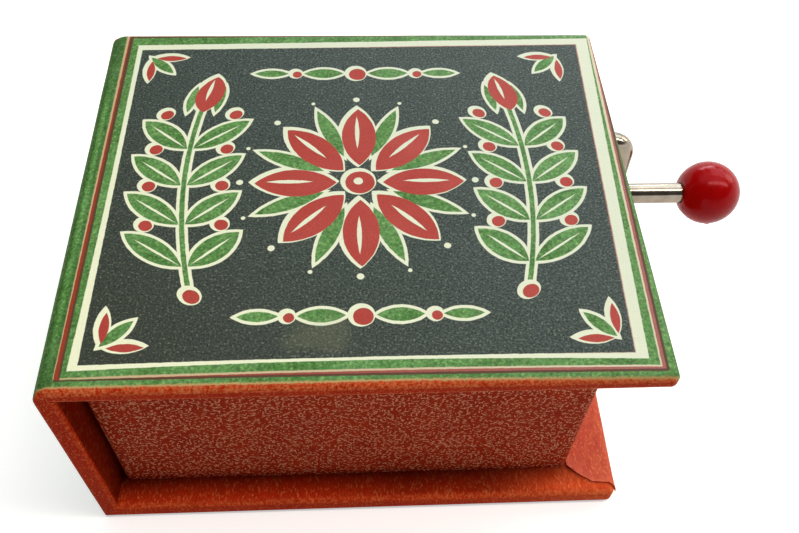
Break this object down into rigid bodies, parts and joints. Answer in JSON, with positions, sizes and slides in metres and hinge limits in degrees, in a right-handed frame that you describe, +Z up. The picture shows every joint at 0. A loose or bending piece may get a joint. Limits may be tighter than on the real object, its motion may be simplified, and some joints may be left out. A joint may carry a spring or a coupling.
{
  "type": "music box",
  "caption": "Hand-cranked music box in a book-shaped board case covered in paper, with a pinned drum, a steel comb, a worm drive and a bent-wire crank with a ball knob.",
  "frame": {"origin": "middle of the case's underside, on which it rests", "axes": "+X from the spine to the crank, +Y to the back, +Z up; the lid is shut"},
  "size_m": [0.0971, 0.06, 0.036],
  "materials": {
    "greyboard": "raw grey bookbinding board",
    "red_cover_paper": "uncoated red paper, softly mottled",
    "green_cover_paper": "printed green paper",
    "printed_cover_paper": "printed paper: dark field in a striped frame, red edges",
    "flecked_tray_paper": "dark red paper with short pale flecks",
    "lining_paper": "plain dark red paper",
    "zinc_screw": "zinc plated",
    "steel_screw": "bright steel",
    "cast_bedplate": "satin",
    "comb_steel": "ground steel",
    "lead_weight": "dull lead",
    "damper_film": "thin translucent film",
    "nickel_plate": "nickel plated sheet",
    "drum_brass": "turned brass",
    "pin_steel": "bright steel",
    "wheel_nylon": "natural nylon",
    "nickel_wire": "nickel plated, bright",
    "worm_brass": "cut brass",
    "red_knob_plastic": "deep red, softly glossy"
  },
  "bodies": {
    "case": {"base_board": "greyboard", "base_cover_paper": "red_cover_paper", "base_lining_paper": "lining_paper", "tray_floor": "greyboard", "tray_wall_front": "greyboard", "tray_wall_back": "greyboard", "tray_wall_left": "greyboard", "tray_wall_right": "greyboard", "tray_wrap_paper": "flecked_tray_paper", "tray_lining_paper": "lining_paper", "tray_floor_paper": "lining_paper", "mounting_screws": "zinc_screw", "bedplate": "cast_bedplate", "comb": "comb_steel", "comb_weights": "lead_weight", "comb_dampers": "damper_film", "comb_screws": "steel_screw", "crank_bracket": "nickel_plate", "bracket_screws": "steel_screw"},
    "spine": {"spine_board": "greyboard", "spine_cover_paper": "green_cover_paper", "spine_lining_paper": "red_cover_paper"},
    "lid": {"lid_board": "greyboard", "lid_cover_paper": "printed_cover_paper", "lid_lining_paper": "red_cover_paper"},
    "drum": {"drum_shell": "drum_brass", "drum_cap_front": "drum_brass", "drum_cap_back": "drum_brass", "drum_arbor": "steel_screw", "drum_pins": "pin_steel", "worm_wheel": "wheel_nylon"},
    "crank": {"crank_wire": "nickel_wire", "worm": "worm_brass", "shaft_ring": "steel_screw"},
    "knob": {"knob": "red_knob_plastic"}
  },
  "joints": [
    {"name": "spine_fold", "type": "hinge", "parent": "case", "child": "spine", "pos_m": [-0.03585, 0, 0.00015], "axis": [0, -1, 0], "range_deg": [0, 90]},
    {"name": "lid_fold", "type": "hinge", "parent": "spine", "child": "lid", "pos_m": [-0.03527, 0, 0.03527], "axis": [0, -1, 0], "range_deg": [0, 90]},
    {"name": "crank_spin", "type": "hinge", "parent": "case", "child": "crank", "pos_m": [0.0403, 0.01465, 0.0279], "axis": [1, 0, 0], "continuous": true},
    {"name": "drum_spin", "type": "hinge", "parent": "case", "child": "drum", "pos_m": [0.0095, 0.01465, 0.017], "axis": [0, 1, 0], "continuous": true},
    {"name": "knob_spin", "type": "hinge", "parent": "crank", "child": "knob", "pos_m": [0.05615, 0.01411, 0.01691], "axis": [1, 0, 0], "continuous": true}
  ],
  "couplings": [
    {"joint": "drum_spin", "follows": "crank_spin", "ratio": -0.0625}
  ]
}
